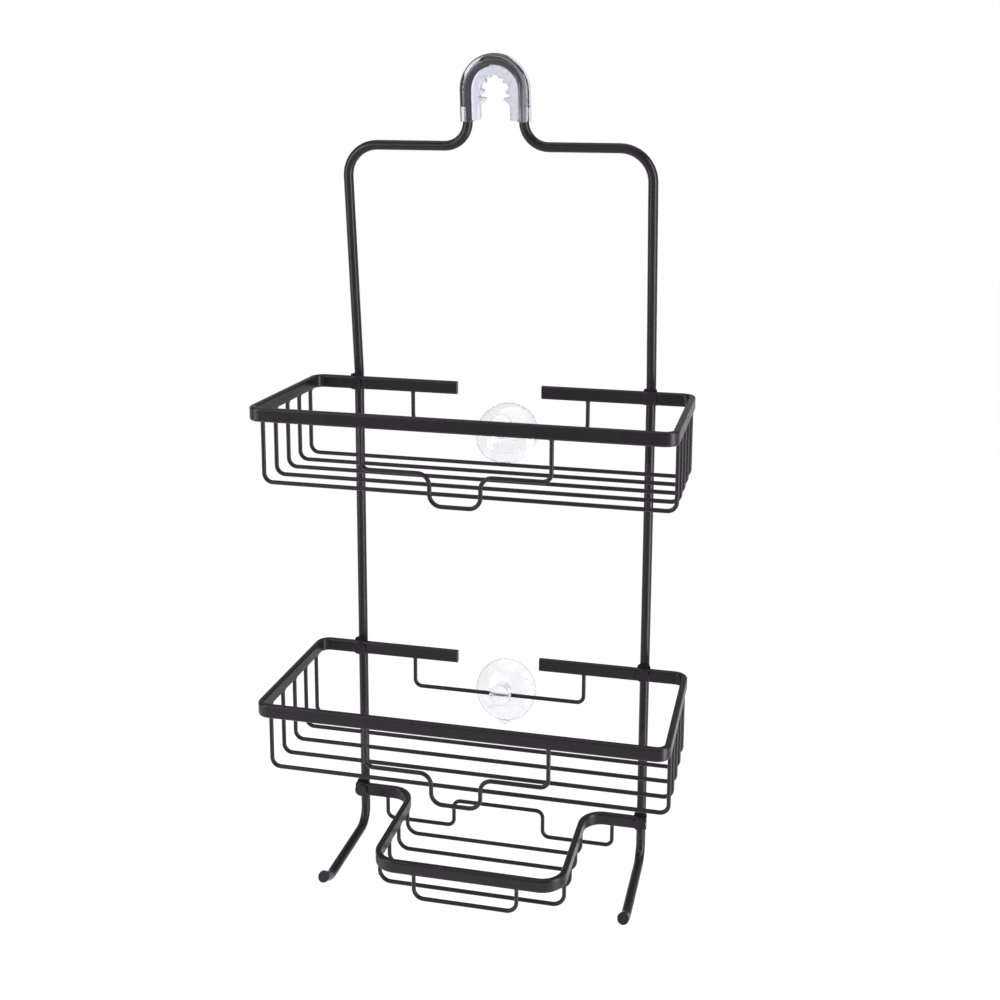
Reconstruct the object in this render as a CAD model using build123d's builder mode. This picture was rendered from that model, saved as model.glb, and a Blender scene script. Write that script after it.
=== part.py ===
from build123d import *
import os
from math import cos, radians, sin, tan

# Hanging shower caddy, millimetres, +Z up, -Y towards the bather, +Y towards the wall.
# The origin is the centre of the hook arch, where the shower arm lies.
os.makedirs("parts", exist_ok=True)

# Frame tube
tube_d = 7.9
tube_wall = 1.0
hook_bend_r = 22.8
hook_leg = 24.2
flare_bend_r = 19.5
corner_bend_r = 26.0
post_spacing = 250.0
lean_angle = 5.9
lean_bend_r = 12.0
lean_start = 9.0
upper_drop = 242.5
basket_pitch = 236.4
dish_drop = 134.0
arm_drop = 36.0
arm_bend_r = 14.0
arm_reach = 85.0
tip_bend_r = 16.0
tip_angle = 30.0
tip_length = 15.0
drain_hole_d = 1.6
drain_hole_rise = 2.0

# End plugs
plug_head_d = 9.4
plug_head = 1.2
plug_stem = 6.0
plug_edge_r = 0.4
plug_clearance = 0.02

# Clear hook sleeve
sleeve_wall = 1.8
sleeve_clearance = 0.05
cuff_bore = 9.6
cuff_length = 12.0
web_thickness = 10.0
web_recess = 1.2
grip_r = 11.9
mouth_width = 25.2
tooth_embed = 0.8
tooth_tip_r = 1.3
tooth_base = 4.2
tooth_angles = (-5.0, 38.0, 64.0)
tooth_heights = (3.1, 2.3, 1.6)
barb_reach = 5.1
barb_top = 5.4
barb_height = 5.7
barb_tip_r = 1.4

# Flat bar rails
rail_height = 10.8
rail_thickness = 5.0
rail_edge_r = 1.8

# Baskets
rim_overhang = 37.5
rim_depth = 134.4
rim_bend_r = 8.5
rim_gap = 72.0
wire_d = 3.3
floor_drop = 59.0
floor_bend_r = 7.0
floor_count = 5
floor_inset = 15.0
front_wire_width = 144.0
front_bend_r = 6.5
loop_width = 38.8
loop_height = 24.3
loop_below_floor = 2.1
loop_bend_r = 9.0
back_wire_inset = 38.5
back_wire_drop = 30.7
back_bend_r = 6.0

# Soap dish
dish_width = 159.0
dish_depth = 110.1
dish_bend_r = 18.0
flange_overhang = 5.5
dish_floor_drop = 26.0
dish_floor_bend_r = 9.5
dish_floor_count = 4
dish_floor_inset = 17.3
dish_front_width = 84.4
dish_front_drop = 25.3
dish_front_bend_r = 8.0
dish_back_inset = 6.0
dish_back_drop = 24.5
dish_step_width = 80.0
dish_step_drop = 1.0
dish_back_bend_r = 6.0

# Most of a straight run that a bend may use up
bend_share = 0.9

# Junctions between rails and posts
saddle_web = 1.5
saddle_depth = 4.0
saddle_front_width = 11.0
saddle_back_width = 8.2
saddle_overlap = 1.1
saddle_clearance = 0.02
cap_d = 11.0
cap_height = 2.0
cap_edge_r = 0.6
shank_d = 4.0
shank_clearance = 0.05
shank_end = 1.0

# Suction cups
cup_d = 53.5
cup_reach = 18.5
cup_hub_d = 18.0
cup_hub_front = 7.0
cup_hub_root = 5.5
cup_hub_edge_r = 0.8
cup_wall = 2.0
cup_lip = 1.0
cup_bulge = 2.2
wire_clearance = 0.05
cup_slide = 2.6
upper_cup_droop = 31.0
lower_cup_droop = 12.0

# Places worked out from the sizes
tube_r = tube_d / 2
post_x = post_spacing / 2
lean_rise = upper_drop - lean_start
post_y = lean_rise * tan(radians(lean_angle))
upper_z = -upper_drop
lower_z = upper_z - basket_pitch
dish_z = lower_z - dish_drop
arm_z = dish_z - arm_drop
shoulder_drop = hook_leg + flare_bend_r
rail_y = post_y - tube_r - saddle_web - rail_thickness / 2
rail_back_y = rail_y + rail_thickness / 2
rail_front_y = rail_y - rail_thickness / 2
rim_x = post_x + rim_overhang - rail_thickness / 2
rim_front_y = rail_y - rim_depth + rail_thickness
dish_x = dish_width / 2 - rail_thickness / 2
dish_front_y = rail_y - dish_depth + rail_thickness
basket_levels = {"upper": upper_z, "lower": lower_z}
junction_levels = {"upper": upper_z, "lower": lower_z, "dish": dish_z}
sides = {"left": -1, "right": 1}
hoop_plane = Plane(
    origin=(0, 0, 0),
    x_dir=(1, 0, 0),
    z_dir=(0, -cos(radians(lean_angle)), -sin(radians(lean_angle))),
)


def on_hoop(across, up):
    """Point of the leaning hook loop, from its distances across and up its plane."""
    return hoop_plane.from_local_coords(Vector(across, up, 0))


def fit_bend(radius, run):
    """Bend radius, limited where its straight run is too short for it."""
    return min(radius, bend_share * run)


def sweep_round(points, radii, diameter):
    """Sweep a round wire along straight runs joined by tangent bends."""
    with BuildLine() as route:
        FilletPolyline(*points, radius=radii)
    with BuildSketch(Plane(origin=route.wire() @ 0, z_dir=route.wire() % 0)) as section:
        Circle(diameter / 2)
    sweep(sections=section.sketch, path=route.wire())


def sweep_rail(points, radii):
    """Sweep the flat bar on edge along a level route."""
    with BuildLine() as route:
        FilletPolyline(*points, radius=radii)
    start = Plane(origin=route.wire() @ 0, x_dir=(0, 1, 0), z_dir=route.wire() % 0)
    with BuildSketch(start) as section:
        RectangleRounded(rail_thickness, rail_height, rail_edge_r)
    sweep(sections=section.sketch, path=route.wire())


def drill_rail(level):
    """Cut the two rivet holes of a rail at the posts."""
    with BuildSketch(Plane.XZ.offset(-rail_y)) as holes:
        with Locations((-post_x, level), (post_x, level)):
            Circle(shank_d / 2 + shank_clearance)
    extrude(holes.sketch, amount=rail_thickness, both=True, mode=Mode.SUBTRACT)


def finish(piece, label):
    """Name a finished piece and write it out."""
    piece.part.label = label
    export_step(piece.part, f"parts/{label}.step")


def side_route(side):
    """Corner points of the frame tube from the hook arch down to one arm tip."""
    x = side * post_x
    tip_rise = radians(tip_angle)
    arm_end = Vector(x, post_y - arm_reach, arm_z)
    return [
        on_hoop(side * hook_bend_r, 0),
        on_hoop(side * hook_bend_r, -shoulder_drop),
        on_hoop(x, -shoulder_drop),
        Vector(x, post_y, -lean_rise),
        Vector(x, post_y, arm_z),
        arm_end,
        arm_end + Vector(0, -cos(tip_rise), sin(tip_rise)) * tip_length,
    ]


# Frame tube: hook arch, shoulders, posts and arms bent from one tube
side_bends = [flare_bend_r, corner_bend_r, lean_bend_r, arm_bend_r, tip_bend_r]
with BuildPart() as frame_tube:
    with BuildLine() as tube_route:
        FilletPolyline(*side_route(-1), radius=side_bends)
        ThreePointArc(
            on_hoop(-hook_bend_r, 0), on_hoop(0, hook_bend_r), on_hoop(hook_bend_r, 0)
        )
        FilletPolyline(*side_route(1), radius=side_bends)
    tube_wire = tube_route.wire()
    with BuildSketch(Plane(origin=tube_wire @ 0, z_dir=tube_wire % 0)) as tube_section:
        Circle(tube_r)
        Circle(tube_r - tube_wall, mode=Mode.SUBTRACT)
    sweep(sections=tube_section.sketch, path=tube_wire)
    with BuildSketch(Plane.XZ.offset(-post_y)) as tube_holes:
        with Locations([(s * post_x, z) for s in sides.values() for z in junction_levels.values()]):
            Circle(shank_d / 2 + shank_clearance)
        with Locations([(s * post_x, arm_z + arm_bend_r + drain_hole_rise) for s in sides.values()]):
            Circle(drain_hole_d / 2)
    extrude(tube_holes.sketch, amount=tube_d, mode=Mode.SUBTRACT)
finish(frame_tube, "frame_tube")

# End plugs pressed into the arm tips
for side_name, side in sides.items():
    tip_points = side_route(side)
    tip_plane = Plane(origin=tip_points[-1], x_dir=(1, 0, 0), z_dir=tip_points[-1] - tip_points[-2])
    with BuildPart() as end_plug:
        with BuildSketch(tip_plane):
            Circle(plug_head_d / 2)
        extrude(amount=plug_head)
        fillet(end_plug.faces().sort_by(Axis(tip_plane.origin, tip_plane.z_dir))[-1].edges(), plug_edge_r)
        with BuildSketch(tip_plane):
            Circle(tube_r - tube_wall - plug_clearance)
        extrude(amount=-plug_stem)
    finish(end_plug, f"end_plug_{side_name}")

# Clear sleeve: a tube over the hook arch and a toothed web inside it
sleeve_bore = tube_d + 2 * sleeve_clearance
with BuildPart() as hook_sleeve:
    with BuildLine(hoop_plane) as sleeve_route:
        Line((-hook_bend_r, -hook_leg), (-hook_bend_r, 0))
        ThreePointArc((-hook_bend_r, 0), (0, hook_bend_r), (hook_bend_r, 0))
        Line((hook_bend_r, 0), (hook_bend_r, -hook_leg))
    sleeve_wire = sleeve_route.wire()
    sleeve_start = Plane(origin=sleeve_wire @ 0, z_dir=sleeve_wire % 0)
    with BuildSketch(sleeve_start) as sleeve_section:
        Circle(sleeve_bore / 2 + sleeve_wall)
    sweep(sections=sleeve_section.sketch, path=sleeve_wire)
    with BuildSketch(hoop_plane) as web_outline:
        Circle(hook_bend_r)
        web_length = hook_leg - web_recess
        with Locations((0, -web_length / 2)):
            Rectangle(2 * hook_bend_r, web_length)
        with Locations((0, -hook_bend_r)):
            Rectangle(mouth_width, 2 * hook_bend_r, mode=Mode.SUBTRACT)
        Circle(grip_r, mode=Mode.SUBTRACT)
        with Locations((0, -hook_bend_r - web_length)):
            Rectangle(2 * hook_bend_r, 2 * hook_bend_r, mode=Mode.SUBTRACT)
        for angle, height in zip(tooth_angles, tooth_heights):
            tip = grip_r - height + tooth_tip_r
            for turn in (angle, 180 - angle):
                with Locations(Location((0, 0, 0), (0, 0, turn))):
                    Polygon(
                        (grip_r + tooth_embed, -tooth_base / 2),
                        (grip_r + tooth_embed, tooth_base / 2),
                        (tip, tooth_tip_r),
                        (tip, -tooth_tip_r),
                        align=None,
                    )
                    with Locations((tip, 0)):
                        Circle(tooth_tip_r)
        for side in sides.values():
            face = side * mouth_width / 2
            tip_x = face - side * (barb_reach - barb_tip_r)
            Polygon(
                (face + side * tooth_embed, -barb_top),
                (tip_x, -barb_top),
                (tip_x - side * barb_tip_r, -barb_top - barb_tip_r),
                (face + side * tooth_embed, -barb_top - barb_height - tooth_embed),
                align=None,
            )
            with Locations((tip_x, -barb_top - barb_tip_r)):
                Circle(barb_tip_r)
    extrude(web_outline.sketch, amount=web_thickness / 2, both=True)
    with BuildSketch(sleeve_start) as bore_section:
        Circle(sleeve_bore / 2)
    sweep(sections=bore_section.sketch, path=sleeve_wire, mode=Mode.SUBTRACT)
    cuff_plane = Plane(origin=on_hoop(0, -hook_leg), x_dir=(1, 0, 0), z_dir=hoop_plane.y_dir)
    with BuildSketch(cuff_plane) as cuff_section:
        with Locations((-hook_bend_r, 0), (hook_bend_r, 0)):
            Circle(cuff_bore / 2)
    extrude(cuff_section.sketch, amount=cuff_length, mode=Mode.SUBTRACT)
finish(hook_sleeve, "hook_sleeve")

# Two baskets of the same design
rail_bottom = rail_height / 2
floor_pitch = (rail_y - rim_front_y - floor_inset) / floor_count
loop_drop = floor_drop + loop_below_floor
ledge_drop = loop_drop - loop_height
back_wire_x = rim_gap / 2 + back_wire_inset
for level_name, level in basket_levels.items():
    with BuildPart() as basket_rim:
        sweep_rail(
            [
                (-rim_gap / 2, rail_y, level),
                (-rim_x, rail_y, level),
                (-rim_x, rim_front_y, level),
                (rim_x, rim_front_y, level),
                (rim_x, rail_y, level),
                (rim_gap / 2, rail_y, level),
            ],
            rim_bend_r,
        )
        drill_rail(level)
    finish(basket_rim, f"{level_name}_rim")

    for number in range(floor_count):
        wire_y = rail_y - floor_inset - number * floor_pitch
        with BuildPart() as floor_wire:
            sweep_round(
                [
                    (-rim_x, wire_y, level - rail_bottom),
                    (-rim_x, wire_y, level - floor_drop),
                    (rim_x, wire_y, level - floor_drop),
                    (rim_x, wire_y, level - rail_bottom),
                ],
                fit_bend(floor_bend_r, floor_drop - rail_bottom),
                wire_d,
            )
        finish(floor_wire, f"{level_name}_floor_wire_{number + 1}")

    outer_bend = fit_bend(front_bend_r, ledge_drop - rail_bottom)
    inner_bend = fit_bend(loop_bend_r, loop_height / 2)
    with BuildPart() as front_wire:
        sweep_round(
            [
                (-front_wire_width / 2, rim_front_y, level - rail_bottom),
                (-front_wire_width / 2, rim_front_y, level - ledge_drop),
                (-loop_width / 2, rim_front_y, level - ledge_drop),
                (-loop_width / 2, rim_front_y, level - loop_drop),
                (loop_width / 2, rim_front_y, level - loop_drop),
                (loop_width / 2, rim_front_y, level - ledge_drop),
                (front_wire_width / 2, rim_front_y, level - ledge_drop),
                (front_wire_width / 2, rim_front_y, level - rail_bottom),
            ],
            [outer_bend, inner_bend, inner_bend, inner_bend, inner_bend, outer_bend],
            wire_d,
        )
    finish(front_wire, f"{level_name}_front_wire")

    with BuildPart() as back_wire:
        sweep_round(
            [
                (-back_wire_x, rail_y, level - rail_bottom),
                (-back_wire_x, rail_y, level - back_wire_drop),
                (back_wire_x, rail_y, level - back_wire_drop),
                (back_wire_x, rail_y, level - rail_bottom),
            ],
            fit_bend(back_bend_r, back_wire_drop - rail_bottom),
            wire_d,
        )
    finish(back_wire, f"{level_name}_back_wire")

# Soap dish: hat-shaped rim, floor wires, front wire and stepped back wire
flange_x = post_x + flange_overhang
with BuildPart() as dish_rim:
    sweep_rail(
        [
            (-flange_x, rail_y, dish_z),
            (-dish_x, rail_y, dish_z),
            (-dish_x, dish_front_y, dish_z),
            (dish_x, dish_front_y, dish_z),
            (dish_x, rail_y, dish_z),
            (flange_x, rail_y, dish_z),
        ],
        dish_bend_r,
    )
    drill_rail(dish_z)
finish(dish_rim, "dish_rim")

dish_floor_run = rail_y - dish_front_y - 2 * dish_floor_inset
dish_floor_pitch = dish_floor_run / (dish_floor_count - 1)
for number in range(dish_floor_count):
    wire_y = rail_y - dish_floor_inset - number * dish_floor_pitch
    with BuildPart() as dish_floor_wire:
        sweep_round(
            [
                (-dish_x, wire_y, dish_z - rail_bottom),
                (-dish_x, wire_y, dish_z - dish_floor_drop),
                (dish_x, wire_y, dish_z - dish_floor_drop),
                (dish_x, wire_y, dish_z - rail_bottom),
            ],
            fit_bend(dish_floor_bend_r, dish_floor_drop - rail_bottom),
            wire_d,
        )
    finish(dish_floor_wire, f"dish_floor_wire_{number + 1}")

with BuildPart() as dish_front_wire:
    sweep_round(
        [
            (-dish_front_width / 2, dish_front_y, dish_z - rail_bottom),
            (-dish_front_width / 2, dish_front_y, dish_z - dish_front_drop),
            (dish_front_width / 2, dish_front_y, dish_z - dish_front_drop),
            (dish_front_width / 2, dish_front_y, dish_z - rail_bottom),
        ],
        fit_bend(dish_front_bend_r, dish_front_drop - rail_bottom),
        wire_d,
    )
finish(dish_front_wire, "dish_front_wire")

dish_back_x = dish_x + dish_bend_r + dish_back_inset
dish_back_bend = fit_bend(dish_back_bend_r, (dish_back_drop - dish_step_drop) / 2)
with BuildPart() as dish_back_wire:
    sweep_round(
        [
            (-dish_back_x, rail_y, dish_z - rail_bottom),
            (-dish_back_x, rail_y, dish_z - dish_back_drop),
            (-dish_step_width / 2, rail_y, dish_z - dish_back_drop),
            (-dish_step_width / 2, rail_y, dish_z - dish_step_drop),
            (dish_step_width / 2, rail_y, dish_z - dish_step_drop),
            (dish_step_width / 2, rail_y, dish_z - dish_back_drop),
            (dish_back_x, rail_y, dish_z - dish_back_drop),
            (dish_back_x, rail_y, dish_z - rail_bottom),
        ],
        dish_back_bend,
        wire_d,
    )
finish(dish_back_wire, "dish_back_wire")

# Saddles between rails and posts, and the capped rivets that hold them
saddle_height = rail_height + 2 * saddle_overlap
shank_length = rail_thickness + saddle_web + tube_wall + shank_end
for level_name, level in junction_levels.items():
    for side_name, side in sides.items():
        with BuildPart() as saddle:
            with BuildSketch(Plane.XY.offset(level - saddle_height / 2)):
                with Locations((side * post_x, rail_back_y)):
                    Polygon(
                        (-saddle_front_width / 2, 0),
                        (saddle_front_width / 2, 0),
                        (saddle_back_width / 2, saddle_depth),
                        (-saddle_back_width / 2, saddle_depth),
                        align=None,
                    )
            extrude(amount=saddle_height)
            with BuildSketch(Plane.XY.offset(level - saddle_height)) as post_channel:
                with Locations((side * post_x, post_y)):
                    Circle(tube_r + saddle_clearance)
            extrude(post_channel.sketch, amount=2 * saddle_height, mode=Mode.SUBTRACT)
            with BuildSketch(Plane.XZ.offset(-rail_back_y)) as saddle_hole:
                with Locations((side * post_x, level)):
                    Circle(shank_d / 2 + shank_clearance)
            extrude(saddle_hole.sketch, amount=-saddle_depth, mode=Mode.SUBTRACT)
        finish(saddle, f"saddle_{level_name}_{side_name}")

        with BuildPart() as cap_rivet:
            cap_plane = Plane(origin=(side * post_x, rail_front_y, level), x_dir=(1, 0, 0), z_dir=(0, -1, 0))
            with BuildSketch(cap_plane):
                Circle(cap_d / 2)
            extrude(amount=cap_height)
            fillet(cap_rivet.faces().sort_by(Axis.Y)[0].edges(), cap_edge_r)
            with BuildSketch(cap_plane):
                Circle(shank_d / 2)
            extrude(amount=-shank_length)
        finish(cap_rivet, f"cap_rivet_{level_name}_{side_name}")

# Clear suction cups threaded on the back wires
cup_droops = {"upper": upper_cup_droop, "lower": lower_cup_droop}
for level_name, level in basket_levels.items():
    droop = radians(cup_droops[level_name])
    cup_plane = Plane(
        origin=(cup_slide, rail_y, level - back_wire_drop),
        x_dir=(1, 0, 0),
        z_dir=(0, sin(droop), cos(droop)),
    )
    lip_r = cup_d / 2
    hub_r = cup_hub_d / 2
    bell_mid_r = (lip_r + hub_r) / 2
    bell_mid_y = (cup_hub_root + cup_reach - cup_lip) / 2 - cup_bulge
    with BuildPart() as suction_cup:
        with BuildSketch(cup_plane) as cup_profile:
            with BuildLine():
                hub_side = Polyline(
                    (0, cup_hub_root + cup_wall),
                    (0, -cup_hub_front),
                    (hub_r, -cup_hub_front),
                    (hub_r, cup_hub_root),
                )
                outer = ThreePointArc(
                    hub_side @ 1, (bell_mid_r, bell_mid_y), (lip_r, cup_reach - cup_lip)
                )
                lip = Polyline(outer @ 1, (lip_r, cup_reach), (lip_r - cup_lip, cup_reach))
                inner = ThreePointArc(
                    lip @ 1, (bell_mid_r, bell_mid_y + cup_wall), (hub_r, cup_hub_root + cup_wall)
                )
                Line(inner @ 1, hub_side @ 0)
            make_face()
        revolve(axis=Axis(cup_plane.origin, cup_plane.y_dir))
        hub_front_face = suction_cup.faces().sort_by(Axis(cup_plane.origin, cup_plane.y_dir))[0]
        fillet(hub_front_face.edges(), cup_hub_edge_r)
        with BuildSketch(Plane.YZ.offset(cup_slide)) as wire_hole:
            with Locations((rail_y, level - back_wire_drop)):
                Circle(wire_d / 2 + wire_clearance)
        extrude(wire_hole.sketch, amount=cup_d / 2, both=True, mode=Mode.SUBTRACT)
    finish(suction_cup, f"suction_cup_{level_name}")
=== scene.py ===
import random
from math import asin, atan2, cos, hypot, pi, radians, sin, sqrt

import bmesh
import bpy
from mathutils import Matrix, Vector


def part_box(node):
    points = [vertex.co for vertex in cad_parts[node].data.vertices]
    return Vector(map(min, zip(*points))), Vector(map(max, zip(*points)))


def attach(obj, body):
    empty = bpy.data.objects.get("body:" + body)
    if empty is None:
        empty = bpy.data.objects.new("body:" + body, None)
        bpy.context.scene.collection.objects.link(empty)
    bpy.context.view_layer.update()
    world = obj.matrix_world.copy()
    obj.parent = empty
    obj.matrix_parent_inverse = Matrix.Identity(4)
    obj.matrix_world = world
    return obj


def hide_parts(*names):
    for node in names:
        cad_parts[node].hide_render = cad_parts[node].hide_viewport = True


# Hanging shower caddy, metres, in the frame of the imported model: +Z up, -Y towards the bather.
# The origin is the centre of the hook arch.
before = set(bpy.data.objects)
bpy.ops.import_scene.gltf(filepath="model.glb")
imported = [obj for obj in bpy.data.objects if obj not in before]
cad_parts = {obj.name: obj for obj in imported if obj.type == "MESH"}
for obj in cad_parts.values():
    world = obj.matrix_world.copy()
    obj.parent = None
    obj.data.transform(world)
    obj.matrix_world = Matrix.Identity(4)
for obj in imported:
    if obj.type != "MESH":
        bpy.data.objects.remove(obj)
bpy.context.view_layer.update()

# Sizes of the metal that the soft pieces and the welds fit
tube_r = 0.00395
wire_r = 0.00165
hook_lean = radians(5.9)

# Clear sleeve on the hook: its round skin, and the looser bore of its right cuff
sleeve_r = 0.0058
sleeve_lip = 0.0004
lip_rounding = sleeve_lip / 3
hook_leg = 0.0242
cuff_r = 0.0048
cuff_length = 0.0120
cuff_step = 0.0004

# Bore of the sleeve, which clings to the metal and stands off it behind the right side
bore_sunk = 0.0003
bore_lift = 0.0006
right_loose = (radians(45), radians(88))
right_turn = radians(130)
right_half = radians(100)

# Air pockets between the sleeve and the metal, on the upper left of the arch and in the left cuff:
# how near their wall comes to the tube's middle, its own bend, and the turns where they lie
pocket_near = 0.00398
pocket_bend = 0.0150
pocket_middle = radians(135)
pocket_turn = radians(55)
pocket_twist = -0.22
pocket_first = radians(18)
pocket_last = radians(74)
pocket_slope = radians(3.5)
pocket_top = (radians(103), radians(120))
pocket_foot = (radians(147), radians(165))
pocket_taper = radians(60)
cuff_pocket_turn = radians(48)
cuff_pocket = (radians(-2), radians(66))

# Toothed web inside the arch, and the barbs at its mouth
web_half = 0.0050
web_recess = 0.0012
web_edge = 0.0007
grip_r = 0.0119
mouth_half = 0.0126
tooth_angles = (radians(-5), radians(38), radians(64))
tooth_heights = (0.0031, 0.0023, 0.0016)
tooth_half = 0.0021
tooth_round = 0.45
barb_top = -0.0054
barb_reach = 0.0051
barb_tip = 0.0014
barb_slope = 0.0044

# Parts of the sleeve's skin with another look: the hazy web, and a painted highlight down the right side,
# a milkier streak that stands in for the reflections there
web_start = 0.0034
web_extra = 0.0018
web_sides = (radians(90), radians(165))
flat_share = 0.7
painted_highlight_turn = radians(21)
painted_highlight_drift = 0.2
painted_highlight_half = radians(16)
painted_highlight_end = radians(105)

# Points round the sleeve's section and steps along it
round_count = 72
side_count = 7
corner_count = 3
edge_count = 4
leg_steps = 120
arch_steps = 240
bore_steps = 90

# Suction cups, measured along their axis from the wire that they turn on
cup_r = 0.02675
cup_hub_r = 0.0090
cup_hub_front = -0.0070
cup_hub_root = 0.0055
cup_hub_edge = 0.0008
cup_navel_r = 0.0012
cup_dimple_r = 0.0052
cup_dimple = 0.0005
cup_lip_end = 0.0185
cup_bead = 0.0008
cup_lip_band = 0.0007
cup_wall = 0.0020
cup_bulge = 0.0022
cup_root_share = 0.6
cup_hole_r = 0.0017
cup_hole_sides = 40
cup_turns = 128
cup_rows = 28
cup_hub_rows = 8
cup_edge_rows = 4
cup_bead_rows = 8
tab_half = 0.0060
tab_reach = 0.0028
tab_half_wall = 0.0005
tab_narrowing = 0.25
tab_narrowing_power = 3
tab_thinning = 0.5
tab_thinning_power = 6
tab_bow = 0.35
tab_rows = 8
tab_sides = 24
cup_droops = {"upper": radians(31.0), "lower": radians(12.0)}

# Welds where the wires meet the rails
weld_r = 0.0023
weld_length = 0.0016
weld_root = 0.0010
weld_sides = 20
weld_rows = 6
weld_wobble = 0.00012
weld_flare = 2.2
weld_seed = 7

# Turns from which an edge between two faces is shaded sharp
sharp_turn = radians(38)
weld_sharp_turn = radians(50)

# Looks of the black surfaces: sizes of patches, smears and grain, two tones, relief and gloss
gloss_tint = (1.0, 0.91, 1.0, 1.0)
black_detail = 3.0
powder_coat_look = {
    "patch": 0.030,
    "tones": ((0.0052, 0.0048, 0.0055), (0.0072, 0.0066, 0.0075)),
    "smear": 0.006,
    "roughness": (0.27, 0.35),
    "grain": 0.0009,
    "relief": 0.25,
    "relief_height": 0.00005,
    "gloss": 0.275,
}
cap_paint_look = {
    "patch": 0.010,
    "tones": ((0.0055, 0.0051, 0.0058), (0.0080, 0.0074, 0.0083)),
    "smear": 0.003,
    "roughness": (0.22, 0.30),
    "grain": 0.0006,
    "relief": 0.15,
    "relief_height": 0.00004,
    "gloss": 0.26,
}
black_moulding_look = {
    "patch": 0.008,
    "tones": ((0.0065, 0.0063, 0.0068), (0.0095, 0.0092, 0.0100)),
    "smear": 0.002,
    "roughness": (0.42, 0.55),
    "grain": 0.0004,
    "relief": 0.30,
    "relief_height": 0.00004,
    "gloss": 0.25,
}

# Looks of the clear soft plastic: size of its patches, two tints, roughness and clearness
vinyl_ior = 1.47
vinyl_smear = 0.004
vinyl_ripple = 0.005
vinyl_ripple_detail = 1.0
vinyl_relief = 0.10
vinyl_relief_height = 0.00008
hazy_tints = ((0.52, 0.52, 0.60), (0.64, 0.64, 0.72))
vinyl_looks = {
    "sleeve_vinyl": {
        "patch": 0.008,
        "tones": ((0.79, 0.78, 0.90), (0.85, 0.84, 0.95)),
        "roughness": (0.02, 0.05),
        "clear": 0.982,
    },
    # Painted highlight: a milkier copy of the sleeve's vinyl for the streak down its right side, lighter
    # there in place of reflections
    "painted_highlight_vinyl": {
        "patch": 0.008,
        "tones": ((0.79, 0.78, 0.88), (0.85, 0.84, 0.93)),
        "roughness": (0.02, 0.05),
        "clear": 0.87,
    },
    "web_vinyl": {"patch": 0.0025, "tones": hazy_tints, "roughness": (0.10, 0.22), "clear": 0.55},
    "edge_vinyl": {"patch": 0.0025, "tones": hazy_tints, "roughness": (0.10, 0.22), "clear": 0.20},
    "cup_vinyl": {
        "patch": 0.008,
        "tones": ((0.86, 0.86, 0.90), (0.92, 0.92, 0.95)),
        "roughness": (0.02, 0.06),
        "clear": 0.93,
    },
    # Painted shade: darker, less clear vinyl on the lip and the hub's front edge, for the dark outline
    # that a thick clear edge shows
    "lip_painted_shade_vinyl": {
        "patch": 0.004,
        "tones": ((0.60, 0.59, 0.70), (0.68, 0.67, 0.78)),
        "roughness": (0.04, 0.10),
        "clear": 0.85,
    },
}

# Part of the noise's range over which a look changes
noise_low = 0.3
noise_high = 0.7

# Camera at the photograph's viewing angle
image_size = 1000.0
camera_place = (0.24706, -0.94283, -0.02875)
camera_yaw = 0.20225
camera_pitch = -0.16101
camera_roll = 0.01116
focal_pixels = 1224.35
centre_pixel = (559.84, 327.16)
sensor_width = 36.0

# Studio: the floor, the white surround and how dim the room is in reflections
white = (1.0, 1.0, 1.0, 1.0)
floor_colour = (0.90, 0.90, 0.90, 1.0)
floor_z = -1.10
floor_half = 9.0
floor_share = 0.75
floor_glow = 1.08
world_fill = 0.45
room_glow = 0.09
backdrop_glow = 0.40
room_start = -0.9
room_end = 0.35
sky_power = 1.2
sky_angle = radians(70)

# Soft boxes: place, point that they face, width, height and power in watts
basket_point = (0.0, 0.0, -0.32)
hook_point = (0.0, 0.0, 0.0)
soft_boxes = {
    "left_box": ((-1.25, -1.0, 0.0), basket_point, 0.6, 1.8, 17.0),
    "right_box": ((1.0, -0.34, -0.27), basket_point, 0.42, 1.62, 19.0),
    "key_box": ((-0.18, -1.41, 0.49), hook_point, 1.0, 1.0, 3.5),
    "hook_box": ((-0.81, -1.25, 0.18), hook_point, 0.65, 0.65, 5.0),
}

random.seed(weld_seed)


def link(obj):
    """Put a new object into the scene."""
    bpy.context.scene.collection.objects.link(obj)
    return obj


def mesh_object(name, rings, closed_rows, material):
    """Quad mesh over closed rings of points, its last row joined to the first if asked, or else capped."""
    mesh = bpy.data.meshes.new(name)
    bm = bmesh.new()
    rows = [[bm.verts.new(point) for point in ring] for ring in rings]
    pairs = list(zip(rows, rows[1:]))
    if closed_rows:
        pairs.append((rows[-1], rows[0]))
    for first, second in pairs:
        count = len(first)
        for i in range(count):
            j = (i + 1) % count
            bm.faces.new((first[i], first[j], second[j], second[i]))
    if not closed_rows:
        bm.faces.new(rows[0])
        bm.faces.new(rows[-1])
    bmesh.ops.recalc_face_normals(bm, faces=bm.faces)
    bm.to_mesh(mesh)
    bm.free()
    mesh.shade_smooth()
    mesh.set_sharp_from_angle(angle=sharp_turn)
    mesh.materials.append(material)
    return link(bpy.data.objects.new(name, mesh))


def apply_modifiers(obj):
    """Bake an object's modifiers into its mesh."""
    graph = bpy.context.evaluated_depsgraph_get()
    mesh = bpy.data.meshes.new_from_object(obj.evaluated_get(graph))
    obj.modifiers.clear()
    obj.data = mesh


def smooth_step(low, high, value):
    """Smooth rise from 0 to 1 between two values."""
    share = min(max((value - low) / (high - low), 0.0), 1.0)
    return share * share * (3.0 - 2.0 * share)


# Material helpers
def new_material(name):
    """New material with its node tree, its Principled shader and its object coordinates."""
    material = bpy.data.materials.new(name)
    material.use_nodes = True
    tree = material.node_tree
    shader = tree.nodes["Principled BSDF"]
    place = tree.nodes.new("ShaderNodeTexCoord").outputs["Object"]
    return material, tree, shader, place


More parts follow.
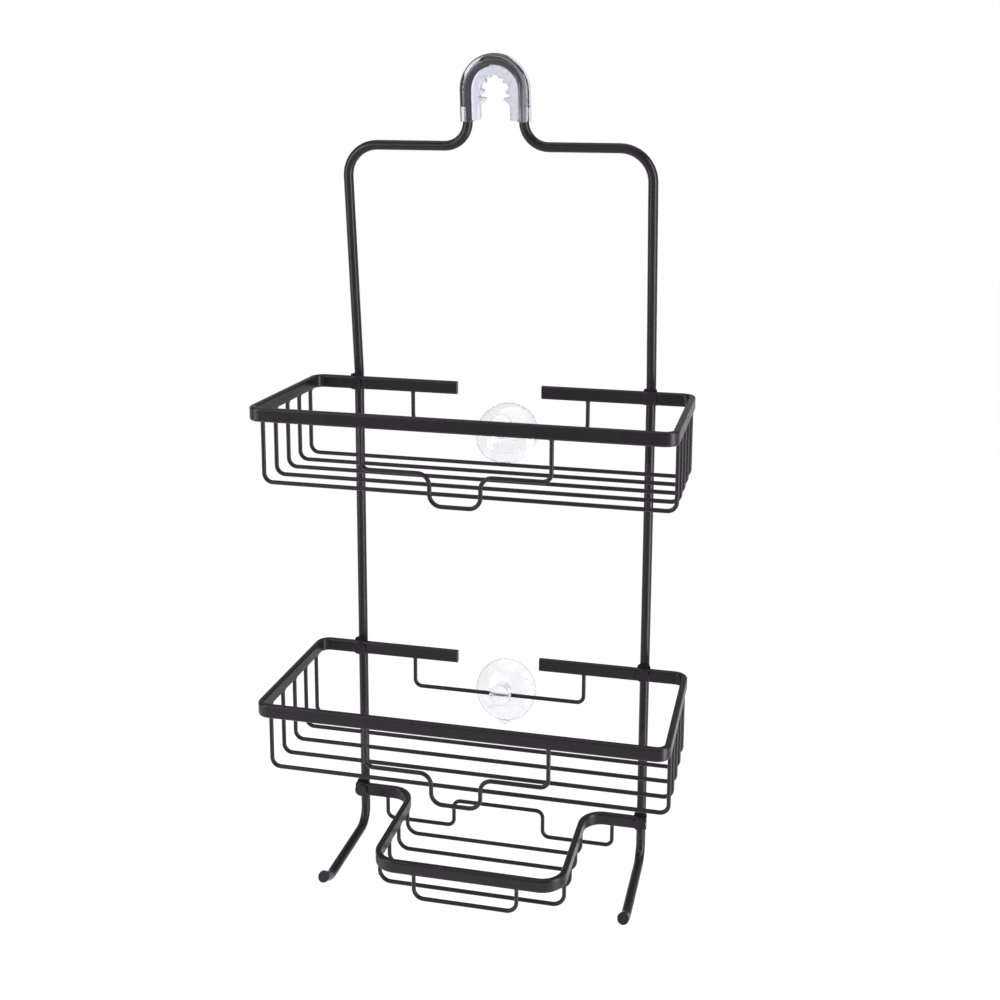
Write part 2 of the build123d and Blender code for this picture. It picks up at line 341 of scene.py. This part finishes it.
def add_noise(tree, place, size, detail=2.0):
    """Noise whose features are about the given size in metres."""
    noise = tree.nodes.new("ShaderNodeTexNoise")
    noise.inputs["Scale"].default_value = 1.0 / size
    noise.inputs["Detail"].default_value = detail
    tree.links.new(place, noise.inputs["Vector"])
    return noise.outputs["Fac"]


def vary(tree, factor, socket, low, high):
    """Drive a number of the shader between two values."""
    spread = tree.nodes.new("ShaderNodeMapRange")
    spread.inputs["From Min"].default_value = noise_low
    spread.inputs["From Max"].default_value = noise_high
    spread.inputs["To Min"].default_value = low
    spread.inputs["To Max"].default_value = high
    tree.links.new(factor, spread.inputs["Value"])
    tree.links.new(spread.outputs["Result"], socket)


def tint(tree, factor, socket, first, second):
    """Drive a colour of the shader between two colours."""
    ramp = tree.nodes.new("ShaderNodeValToRGB")
    ramp.color_ramp.elements[0].position = noise_low
    ramp.color_ramp.elements[0].color = (*first, 1.0)
    ramp.color_ramp.elements[1].position = noise_high
    ramp.color_ramp.elements[1].color = (*second, 1.0)
    tree.links.new(factor, ramp.inputs["Fac"])
    tree.links.new(ramp.outputs["Color"], socket)


def add_bump(tree, factor, shader, strength, height):
    """Fine relief on the shader's normal."""
    bump = tree.nodes.new("ShaderNodeBump")
    bump.inputs["Strength"].default_value = strength
    bump.inputs["Distance"].default_value = height
    tree.links.new(factor, bump.inputs["Height"])
    tree.links.new(bump.outputs["Normal"], shader.inputs["Normal"])


def black_finish(name, look):
    """Satin black surface with faint patches of tone, uneven gloss and a fine relief."""
    material, tree, shader, place = new_material(name)
    patches = add_noise(tree, place, look["patch"], black_detail)
    tint(tree, patches, shader.inputs["Base Color"], *look["tones"])
    vary(tree, add_noise(tree, place, look["smear"]), shader.inputs["Roughness"], *look["roughness"])
    add_bump(tree, add_noise(tree, place, look["grain"]), shader, look["relief"], look["relief_height"])
    shader.inputs["Specular IOR Level"].default_value = look["gloss"]
    shader.inputs["Specular Tint"].default_value = gloss_tint
    return material


def clear_vinyl(name, look):
    """Soft clear plastic, faintly tinted, with slow ripples in its surface."""
    material, tree, shader, place = new_material(name)
    patches = add_noise(tree, place, look["patch"])
    tint(tree, patches, shader.inputs["Base Color"], *look["tones"])
    vary(tree, add_noise(tree, place, vinyl_smear), shader.inputs["Roughness"], *look["roughness"])
    ripples = add_noise(tree, place, vinyl_ripple, vinyl_ripple_detail)
    add_bump(tree, ripples, shader, vinyl_relief, vinyl_relief_height)
    shader.inputs["Transmission Weight"].default_value = look["clear"]
    shader.inputs["IOR"].default_value = vinyl_ior
    return material


coat = black_finish("powder_coat", powder_coat_look)
cap = black_finish("cap_paint", cap_paint_look)
moulding = black_finish("black_moulding", black_moulding_look)
vinyl = {name: clear_vinyl(name, look) for name, look in vinyl_looks.items()}

slot_materials = {"black_coated_metal": coat, "rivet_caps": cap, "black_plastic": moulding}
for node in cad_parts.values():
    slot_name = node.material_slots[0].material.name
    if slot_name in slot_materials:
        for material_slot in node.material_slots:
            material_slot.link = "OBJECT"
            material_slot.material = slot_materials[slot_name]


# Clear sleeve: a tube round the arch, its toothed web, and a bore that is looser in each cuff
hook_up = Vector((0.0, -sin(hook_lean), cos(hook_lean)))
hook_out = Vector((0.0, -cos(hook_lean), -sin(hook_lean)))
hook_across = Vector((1.0, 0.0, 0.0))
hook_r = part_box("hook_sleeve")[1].x - sleeve_r
web_turn = asin(web_half / sleeve_r)


def on_hook(across, up, out=0.0):
    """Point from its distances across, up and out of the leaning hook loop."""
    return hook_across * across + hook_up * up + hook_out * out


def tooth_rise(along, height):
    """Rounded tooth at a distance along the grip from its middle."""
    return height * max(0.0, 1.0 - (along / tooth_half) ** 2) ** tooth_round


def arch_depth(angle):
    """Depth of the web, from the tube's middle to its toothed edge, at an angle round the arch."""
    depth = hook_r - grip_r
    for tooth_angle, height in zip(tooth_angles, tooth_heights):
        for turn in (tooth_angle, pi - tooth_angle):
            depth += tooth_rise(grip_r * (angle - turn), height)
    return depth


def leg_depth(up):
    """Depth of the web on a leg: the rest of the lowest tooth, then the barb with its round nose."""
    depth = hook_r - mouth_half + tooth_rise(up - grip_r * tooth_angles[0], tooth_heights[0])
    below = barb_top - up
    if 0.0 < below < barb_tip:
        depth += barb_reach - barb_tip + barb_tip * sqrt(1.0 - (1.0 - below / barb_tip) ** 2)
    elif below >= barb_tip:
        depth += barb_reach * max(0.0, 1.0 - (below - barb_tip) / barb_slope)
    return depth


def around(radius):
    """Points of a circle in the order of the web section, measured inwards and out."""
    turns = [web_turn + (2 * pi - 2 * web_turn) * i / (round_count - 1) for i in range(round_count)]
    rest = 2 * side_count + 2 * corner_count + edge_count
    turns += [-web_turn + 2 * web_turn * (i + 1) / (rest + 1) for i in range(rest)]
    return [(radius * cos(turn), radius * sin(turn)) for turn in turns]


def web_section(depth):
    """Round outer skin with a flat web that reaches inwards to a rounded edge."""
    points = around(sleeve_r)[:round_count]
    root = sleeve_r * cos(web_turn)
    flat_end = depth - web_edge
    shares = [(i + 1) / side_count for i in range(side_count)]
    side = [(root + (flat_end - root) * share, -web_half) for share in shares]
    corner_turns = [pi / 2 * (i + 1) / corner_count for i in range(corner_count)]
    corner = [
        (flat_end + web_edge * sin(turn), -web_half + web_edge * (1.0 - cos(turn)))
        for turn in corner_turns
    ]
    edge_half = web_half - web_edge
    edge = [
        (depth, -edge_half + 2 * edge_half * (i + 1) / (edge_count + 1)) for i in range(edge_count)
    ]
    back = [(inwards, -out) for inwards, out in reversed(side + corner)]
    return points + side + corner + edge + back


def hook_ring(middle, inwards, section):
    """Section points set on the hook loop at a place with an inward direction."""
    return [
        on_hook(middle[0] + inwards[0] * u, middle[1] + inwards[1] * u, w) for u, w in section
    ]


def leg_rings(side):
    """Outer rings of one leg from its cuff end up to the arch."""
    middle_x = side * hook_r
    inwards = (-side, 0.0)
    web_end = -hook_leg + web_recess
    rings = [
        hook_ring((middle_x, -hook_leg), inwards, around(sleeve_r - sleeve_lip)),
        hook_ring((middle_x, -hook_leg + lip_rounding), inwards, around(sleeve_r - lip_rounding)),
        hook_ring((middle_x, -hook_leg + sleeve_lip), inwards, around(sleeve_r)),
        hook_ring((middle_x, web_end), inwards, around(sleeve_r)),
        hook_ring((middle_x, web_end), inwards, web_section(leg_depth(web_end) - web_edge)),
    ]
    start = web_end + web_edge
    for i in range(leg_steps):
        up = start * (1.0 - i / leg_steps)
        rings.append(hook_ring((middle_x, up), inwards, web_section(leg_depth(up))))
    return rings


def arch_rings():
    """Outer rings round the arch from the left leg to the right leg."""
    rings = []
    for i in range(arch_steps + 1):
        angle = pi - pi * i / arch_steps
        middle = (hook_r * cos(angle), hook_r * sin(angle))
        inwards = (-cos(angle), -sin(angle))
        rings.append(hook_ring(middle, inwards, web_section(arch_depth(angle))))
    return rings


def loose_share(turn, centre, half):
    """1 at the middle of a loose patch of the bore and 0 from its half width outwards."""
    away = abs((turn - centre + pi) % (2 * pi) - pi)
    return 1.0 - smooth_step(0.0, half, away)


def pocket_radius(turn, radius, wall_turn, first, last):
    """Radius of the bore where an air pocket with a gently curved wall lies between two turns."""
    share = min((turn - first) / pocket_slope, (last - turn) / pocket_slope, 1.0)
    if share <= 0.0:
        return radius
    set_back = pocket_bend - pocket_near
    away = turn - wall_turn
    wall = sqrt(pocket_bend ** 2 - (set_back * sin(away)) ** 2) - set_back * cos(away)
    return radius + (wall - radius) * share


def bore_section(angle):
    """Bore that clings to the metal, loose behind its right side, with an air pocket at the upper left."""
    right = 1.0 - smooth_step(*right_loose, angle)
    first = pocket_first + pocket_taper * (1.0 - smooth_step(*pocket_top, angle))
    last = pocket_last - pocket_taper * smooth_step(*pocket_foot, angle)
    wall_turn = pocket_turn + pocket_twist * (angle - pocket_middle)
    section = []
    for u, w in around(1.0):
        turn = atan2(-u, w)
        radius = tube_r - bore_sunk + bore_lift * loose_share(turn, right_turn, right_half) * right
        radius = pocket_radius(turn, radius, wall_turn, first, last)
        section.append((u * radius, w * radius))
    return section


def cuff_section():
    """Bore of the left cuff, with an air pocket on its outer side."""
    section = []
    for u, w in around(1.0):
        radius = pocket_radius(atan2(-u, w), tube_r - bore_sunk, cuff_pocket_turn, *cuff_pocket)
        section.append((u * radius, w * radius))
    return section


def bore_rings():
    """Rings of the bore from the right cuff round the arch to the left cuff."""
    cuff_end = -hook_leg + cuff_length
    cuff = around(cuff_r)
    rings = []
    for up, section in ((-hook_leg, cuff), (cuff_end - cuff_step, cuff), (cuff_end, bore_section(0.0))):
        rings.append(hook_ring((hook_r, up), (-1.0, 0.0), section))
    for i in range(bore_steps + 1):
        angle = pi * i / bore_steps
        middle = (hook_r * cos(angle), hook_r * sin(angle))
        rings.append(hook_ring(middle, (-cos(angle), -sin(angle)), bore_section(angle)))
    cuff = cuff_section()
    for up, section in ((cuff_end, bore_section(pi)), (cuff_end - cuff_step, cuff), (-hook_leg, cuff)):
        rings.append(hook_ring((-hook_r, up), (1.0, 0.0), section))
    return rings


def inwards_from_tube(point):
    """Distance of a point inwards from the middle line of the hook's tube."""
    across, up = point.dot(hook_across), point.dot(hook_up)
    return hook_r - (hypot(across, up) if up > 0.0 else abs(across))


def arch_angle(point):
    """Angle of a point round the arch, from 0 on the right leg to pi on the left one."""
    return atan2(max(point.dot(hook_up), 0.0), point.dot(hook_across))


def in_web(point):
    """Whether a point of the outer skin belongs to the hazy web inside the arch."""
    start = web_start + web_extra * smooth_step(*web_sides, arch_angle(point))
    return inwards_from_tube(point) > start


def in_painted_highlight(point):
    """Whether a point of the outer skin lies in the painted highlight, a milkier streak down its right
    side.
    """
    inwards, out = inwards_from_tube(point), point.dot(hook_out)
    angle = arch_angle(point)
    away = abs(atan2(-inwards, out) - painted_highlight_turn - painted_highlight_drift * angle)
    on_skin = hypot(inwards, out) > cuff_r
    return on_skin and away < painted_highlight_half * (1.0 - angle / painted_highlight_end)


sleeve_rings = leg_rings(-1) + arch_rings() + leg_rings(1)[::-1] + bore_rings()
sleeve = mesh_object("clear_hook_sleeve", sleeve_rings, True, vinyl["sleeve_vinyl"])
flat_index, edge_index, painted_highlight_index = 1, 2, 3
for name in ("web_vinyl", "edge_vinyl", "painted_highlight_vinyl"):
    sleeve.data.materials.append(vinyl[name])
for face in sleeve.data.polygons:
    if in_web(face.center):
        is_flat = abs(face.normal.dot(hook_out)) > flat_share
        face.material_index = flat_index if is_flat else edge_index
    # Faces in the streak down the right side get the painted highlight
    elif in_painted_highlight(face.center):
        face.material_index = painted_highlight_index
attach(sleeve, "frame")
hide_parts("hook_sleeve")


# Suction cups: a turned bell and hub, a cross hole for the wire and a pull tab at the lip
def arc_points(start, middle, end, count):
    """Points of the circle through three points, without its first one."""
    (ax, ay), (bx, by), (cx, cy) = start, middle, end
    d = 2 * (ax * (by - cy) + bx * (cy - ay) + cx * (ay - by))
    a2, b2, c2 = ax * ax + ay * ay, bx * bx + by * by, cx * cx + cy * cy
    ox = (a2 * (by - cy) + b2 * (cy - ay) + c2 * (ay - by)) / d
    oy = (a2 * (cx - bx) + b2 * (ax - cx) + c2 * (bx - ax)) / d
    centre = Vector((ox, oy))
    first = Vector(start) - centre
    turn = first.angle_signed(Vector(end) - centre)
    points = []
    for i in range(1, count + 1):
        spun = Matrix.Rotation(-turn * i / count, 2) @ first
        points.append(tuple(centre + spun))
    return points


def cup_profile():
    """Radius and place along the axis, from the hub's front face over the lip to the hollow."""
    mid_r = (cup_r + cup_hub_r) / 2
    lip_start = cup_lip_end - cup_bead
    mid_y = (cup_hub_root + lip_start) / 2 - cup_bulge
    profile = [(cup_navel_r, cup_hub_front + cup_dimple), (cup_dimple_r, cup_hub_front + cup_dimple)]
    profile.append((cup_dimple_r + 2 * cup_dimple, cup_hub_front))
    profile.append((cup_hub_r - cup_hub_edge, cup_hub_front))
    for i in range(1, cup_edge_rows + 1):
        turn = pi / 2 * i / cup_edge_rows
        radius = cup_hub_r - cup_hub_edge * (1.0 - sin(turn))
        profile.append((radius, cup_hub_front + cup_hub_edge * (1.0 - cos(turn))))
    hub_start = cup_hub_front + cup_hub_edge
    for i in range(1, cup_hub_rows + 1):
        profile.append((cup_hub_r, hub_start + (cup_hub_root - hub_start) * i / cup_hub_rows))
    profile += arc_points(profile[-1], (mid_r, mid_y), (cup_r, lip_start), cup_rows)
    for i in range(1, cup_bead_rows + 1):
        turn = pi * i / cup_bead_rows
        profile.append((cup_r - cup_bead * (1.0 - cos(turn)), lip_start + cup_bead * sin(turn)))
    hollow_root = (cup_hub_r, cup_hub_root + cup_wall)
    profile += arc_points(profile[-1], (mid_r, mid_y + cup_wall), hollow_root, cup_rows)
    profile += [(cup_hub_r * cup_root_share, hollow_root[1]), (cup_navel_r, hollow_root[1])]
    return profile


def turned(name, profile, place, material):
    """Turn a profile about the Y axis of a place."""
    rings = []
    for radius, along in profile:
        ring = []
        for i in range(cup_turns):
            turn = 2 * pi * i / cup_turns
            ring.append(place @ Vector((radius * cos(turn), along, radius * sin(turn))))
        rings.append(ring)
    return mesh_object(name, rings, False, material)


def cut_wire_hole(cup, place):
    """Drill the cross hole for the wire along X."""
    rings = []
    for across in (-cup_r, cup_r):
        ring = []
        for i in range(cup_hole_sides):
            turn = 2 * pi * i / cup_hole_sides
            ring.append(place @ Vector((across, cup_hole_r * cos(turn), cup_hole_r * sin(turn))))
        rings.append(ring)
    drill = mesh_object("drill", rings, False, vinyl["cup_vinyl"])
    cut = cup.modifiers.new("wire_hole", "BOOLEAN")
    cut.operation = "DIFFERENCE"
    cut.solver = "EXACT"
    cut.object = drill
    apply_modifiers(cup)
    bpy.data.objects.remove(drill)


def paint_edge_shade(cup, place):
    """Give the lip and the hub's front edge a darker, less clear copy of the vinyl: painted shade for the
    dark outline of a thick clear edge.
    """
    cup.data.materials.append(vinyl["lip_painted_shade_vinyl"])
    painted_shade_index = 1
    into_cup = place.inverted()
    for face in cup.data.polygons:
        spot = into_cup @ face.center
        radius = hypot(spot.x, spot.z)
        on_lip = radius > cup_r - cup_lip_band
        at_hub_front = spot.y < cup_hub_front + cup_hub_edge
        on_hub_edge = at_hub_front and cup_hub_r - cup_hub_edge < radius < cup_hub_r
        if on_lip or on_hub_edge:
            face.material_index = painted_shade_index


def pull_tab(name, place):
    """Small rounded tongue at the lowest point of the lip."""
    rings = []
    mid_along = cup_lip_end - cup_bead
    for i in range(tab_rows + 1):
        share = i / tab_rows
        half = tab_half * (1.0 - tab_narrowing * share ** tab_narrowing_power)
        wall = tab_half_wall * (1.0 - tab_thinning * share ** tab_thinning_power)
        radius = cup_r - cup_bead + (tab_reach + cup_bead) * share
        ring = []
        for k in range(tab_sides):
            turn = 2 * pi * k / tab_sides
            across = half * cos(turn)
            bow = tab_reach * tab_bow * (across / tab_half) ** 2
            ring.append(place @ Vector((across, mid_along + wall * sin(turn), -radius + bow)))
        rings.append(ring)
    return mesh_object(name, rings, False, vinyl["cup_vinyl"])


for level, droop in cup_droops.items():
    wire_low, wire_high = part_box(f"{level}_back_wire")
    cup_low, cup_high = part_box(f"suction_cup_{level}")
    middle_x = (cup_low.x + cup_high.x) / 2
    hinge = Vector((middle_x, (wire_low.y + wire_high.y) / 2, wire_low.z + wire_r))
    cup_place = Matrix.Translation(hinge) @ Matrix.Rotation(-droop, 4, "X")
    cup = turned(f"{level}_clear_cup", cup_profile(), cup_place, vinyl["cup_vinyl"])
    cut_wire_hole(cup, cup_place)
    paint_edge_shade(cup, cup_place)
    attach(cup, f"{level}_cup")
    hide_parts(f"suction_cup_{level}")
    tab = pull_tab(f"{level}_cup_tab", cup_place)
    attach(tab, f"{level}_cup")


# Welds: a small flared collar where each wire end meets its rail
def weld_collar(bm, spot):
    """Concave collar from the rail down the wire, a little uneven round its foot."""
    rows = []
    wobble = [random.uniform(-weld_wobble, weld_wobble) for _ in range(weld_sides)]
    for k in range(weld_rows + 1):
        share = k / weld_rows
        flare = (1.0 - share) ** weld_flare
        drop = weld_length * share
        row = []
        for i in range(weld_sides):
            turn = 2 * pi * i / weld_sides
            radius = wire_r + (weld_r - wire_r + wobble[i]) * flare
            row.append(bm.verts.new(spot + Vector((radius * cos(turn), radius * sin(turn), -drop))))
        rows.append(row)
    top = [bm.verts.new(vert.co + Vector((0.0, 0.0, weld_root))) for vert in rows[0]]
    rows.insert(0, top)
    for first, second in zip(rows, rows[1:]):
        for i in range(weld_sides):
            j = (i + 1) % weld_sides
            bm.faces.new((first[i], second[i], second[j], first[j]))
    bm.faces.new(rows[0])
    bm.faces.new(list(reversed(rows[-1])))


def add_welds(rail, wires):
    """One mesh with the collars of all the wires under a rail."""
    rail_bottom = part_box(rail)[0].z
    bm = bmesh.new()
    for wire in wires:
        low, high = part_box(wire)
        for across in (low.x + wire_r, high.x - wire_r):
            weld_collar(bm, Vector((across, (low.y + high.y) / 2, rail_bottom)))
    mesh = bpy.data.meshes.new(f"{rail}_welds")
    bm.to_mesh(mesh)
    bm.free()
    mesh.shade_smooth()
    mesh.set_sharp_from_angle(angle=weld_sharp_turn)
    mesh.materials.append(coat)
    welds = link(bpy.data.objects.new(f"{rail}_welds", mesh))
    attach(welds, "frame")


for group in ("upper", "lower", "dish"):
    starts = (f"{group}_floor_wire", f"{group}_front_wire", f"{group}_back_wire")
    add_welds(f"{group}_rim", sorted(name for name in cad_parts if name.startswith(starts)))


# Studio: a pale floor below the hanging caddy, a white surround and soft boxes
def seen_rays(tree):
    """1 for rays that show the background, seen directly or through clear plastic."""
    path = tree.nodes.new("ShaderNodeLightPath")
    most = tree.nodes.new("ShaderNodeMath")
    most.operation = "MAXIMUM"
    tree.links.new(path.outputs["Is Camera Ray"], most.inputs[0])
    tree.links.new(path.outputs["Is Transmission Ray"], most.inputs[1])
    return most.outputs["Value"]


def floor_material():
    """Pale matt floor, mostly white where it is seen, with a soft trace of its shadows."""
    material = bpy.data.materials.new("studio_floor")
    material.use_nodes = True
    tree = material.node_tree
    output = tree.nodes["Material Output"]
    tree.nodes.remove(tree.nodes["Principled BSDF"])
    matt = tree.nodes.new("ShaderNodeBsdfDiffuse")
    matt.inputs["Color"].default_value = floor_colour
    glow = tree.nodes.new("ShaderNodeEmission")
    glow.inputs["Strength"].default_value = floor_glow
    share = tree.nodes.new("ShaderNodeMath")
    share.operation = "MULTIPLY"
    share.inputs[1].default_value = floor_share
    tree.links.new(seen_rays(tree), share.inputs[0])
    blend = tree.nodes.new("ShaderNodeMixShader")
    tree.links.new(share.outputs["Value"], blend.inputs["Fac"])
    tree.links.new(matt.outputs["BSDF"], blend.inputs[1])
    tree.links.new(glow.outputs["Emission"], blend.inputs[2])
    tree.links.new(blend.outputs["Shader"], output.inputs["Surface"])
    return material


def add_floor():
    """Large flat floor, not part of the object."""
    mesh = bpy.data.meshes.new("floor")
    corners = [(-floor_half, -floor_half), (floor_half, -floor_half)]
    corners += [(floor_half, floor_half), (-floor_half, floor_half)]
    mesh.from_pydata([(x, y, floor_z) for x, y in corners], [], [(0, 1, 2, 3)])
    mesh.materials.append(floor_material())
    link(bpy.data.objects.new("floor", mesh))


def add_world():
    """White surround where it is seen, dimmer in gloss towards the room behind the camera."""
    world = bpy.data.worlds.new("studio")
    world.use_nodes = True
    bpy.context.scene.world = world
    tree = world.node_tree
    fill = tree.nodes["Background"]
    fill.inputs["Color"].default_value = white
    fill.inputs["Strength"].default_value = world_fill
    plain = tree.nodes.new("ShaderNodeBackground")
    plain.inputs["Color"].default_value = white
    plain.inputs["Strength"].default_value = 1.0
    gloss = tree.nodes.new("ShaderNodeBackground")
    gloss.inputs["Color"].default_value = white
    direction = tree.nodes.new("ShaderNodeTexCoord").outputs["Generated"]
    split = tree.nodes.new("ShaderNodeSeparateXYZ")
    tree.links.new(direction, split.inputs["Vector"])
    fade = tree.nodes.new("ShaderNodeMapRange")
    fade.interpolation_type = "SMOOTHSTEP"
    fade.inputs["From Min"].default_value = room_start
    fade.inputs["From Max"].default_value = room_end
    fade.inputs["To Min"].default_value = room_glow
    fade.inputs["To Max"].default_value = backdrop_glow
    tree.links.new(split.outputs["Y"], fade.inputs["Value"])
    tree.links.new(fade.outputs["Result"], gloss.inputs["Strength"])
    path = tree.nodes.new("ShaderNodeLightPath")
    in_gloss = tree.nodes.new("ShaderNodeMixShader")
    tree.links.new(path.outputs["Is Glossy Ray"], in_gloss.inputs["Fac"])
    tree.links.new(fill.outputs["Background"], in_gloss.inputs[1])
    tree.links.new(gloss.outputs["Background"], in_gloss.inputs[2])
    seen = tree.nodes.new("ShaderNodeMixShader")
    tree.links.new(seen_rays(tree), seen.inputs["Fac"])
    tree.links.new(in_gloss.outputs["Shader"], seen.inputs[1])
    tree.links.new(plain.outputs["Background"], seen.inputs[2])
    tree.links.new(seen.outputs["Shader"], tree.nodes["World Output"].inputs["Surface"])


def add_soft_box(name, place, aim, width, height, power):
    """Rectangular soft light turned to a point."""
    light = bpy.data.lights.new(name, "AREA")
    light.shape = "RECTANGLE"
    light.size = width
    light.size_y = height
    light.energy = power
    box = link(bpy.data.objects.new(name, light))
    box.location = place
    box.rotation_euler = (Vector(aim) - Vector(place)).to_track_quat("-Z", "Y").to_euler()
    box.visible_camera = False


def add_sky_light():
    """Wide even light from above, which reaches the whole floor alike."""
    light = bpy.data.lights.new("sky_light", "SUN")
    light.energy = sky_power
    light.angle = sky_angle
    link(bpy.data.objects.new("sky_light", light))


def add_camera():
    """Camera at the photograph's place, lens and framing."""
    data = bpy.data.cameras.new("camera")
    data.sensor_width = sensor_width
    data.lens = focal_pixels * sensor_width / image_size
    data.shift_x = 0.5 - centre_pixel[0] / image_size
    data.shift_y = centre_pixel[1] / image_size - 0.5
    camera = link(bpy.data.objects.new("camera", data))
    turn = Matrix.Rotation(camera_yaw, 4, "Z") @ Matrix.Rotation(pi / 2 + camera_pitch, 4, "X")
    turn = turn @ Matrix.Rotation(camera_roll, 4, "Z")
    camera.matrix_world = Matrix.Translation(camera_place) @ turn
    bpy.context.scene.camera = camera


add_floor()
add_world()
for box_name, box_values in soft_boxes.items():
    add_soft_box(box_name, *box_values)
add_sky_light()
add_camera()
bpy.context.scene.view_settings.view_transform = "Standard"
